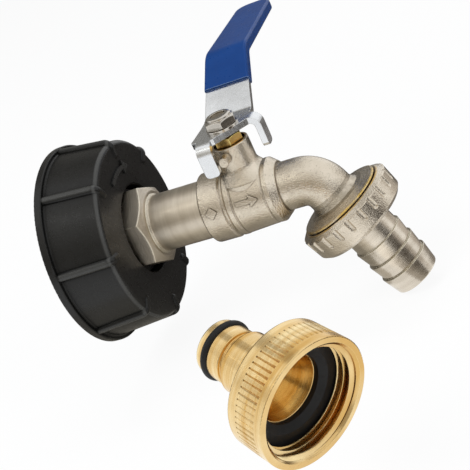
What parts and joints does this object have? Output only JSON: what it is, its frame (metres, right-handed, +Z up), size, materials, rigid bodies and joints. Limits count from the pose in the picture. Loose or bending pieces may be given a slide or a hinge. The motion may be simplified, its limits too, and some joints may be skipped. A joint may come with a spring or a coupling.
{
  "type": "ibc tank valve",
  "caption": "Screw cap for a tank outlet with a bent-lever ball tap through it, a union nut with a barbed hose tail, and a loose threaded quick connector.",
  "frame": {"origin": "centre of the screw cap's open face, on the axis of its tank thread", "axes": "+X along the flow from the tank to the elbow, +Z up along the valve stem, +Y along the closed lever"},
  "size_m": [0.1301, 0.2529, 0.1008],
  "materials": {
    "cap_plastic": "satin",
    "nickel": "satin",
    "steel": "brushed",
    "grip_blue": "satin",
    "brass": "turned",
    "rubber": "matte",
    "white_plastic": "matte"
  },
  "bodies": {
    "valve": {"tank_cap": "cap_plastic", "cap_seal": "rubber", "hub_washer": "rubber", "lock_nut": "nickel", "tail_piece": "nickel", "body_ring": "rubber", "valve_body": "nickel", "inlet_seat": "white_plastic", "outlet_seat": "white_plastic", "stem_packing": "white_plastic", "gland_nut": "brass", "hose_washer": "rubber", "connector_body": "brass", "connector_washer": "rubber", "connector_ring": "rubber"},
    "lever": {"lever_plate": "steel", "lever_grip": "grip_blue", "lever_nut": "steel", "spring_washer": "steel", "stem": "brass", "stem_ring": "rubber", "ball": "nickel"},
    "hose_tail": {"hose_tail": "nickel"},
    "union_nut": {"union_nut": "nickel"}
  },
  "joints": [
    {"name": "lever_turn", "type": "hinge", "parent": "valve", "child": "lever", "pos_m": [0.07204, 0, 0], "axis": [0, 0, -1], "range_deg": [0, 90]},
    {"name": "hose_tail_slide", "type": "slide", "parent": "valve", "child": "hose_tail", "axis": [0.4003, 0, -0.9164], "range_m": [0, 0.0069]},
    {"name": "union_nut_turn", "type": "hinge", "parent": "hose_tail", "child": "union_nut", "pos_m": [0.09745, 0, 0], "axis": [0.4003, 0, -0.9164], "range_deg": [0, 1075]}
  ],
  "couplings": [
    {"joint": "hose_tail_slide", "follows": "union_nut_turn", "m_per_rad": 0.0003675}
  ]
}
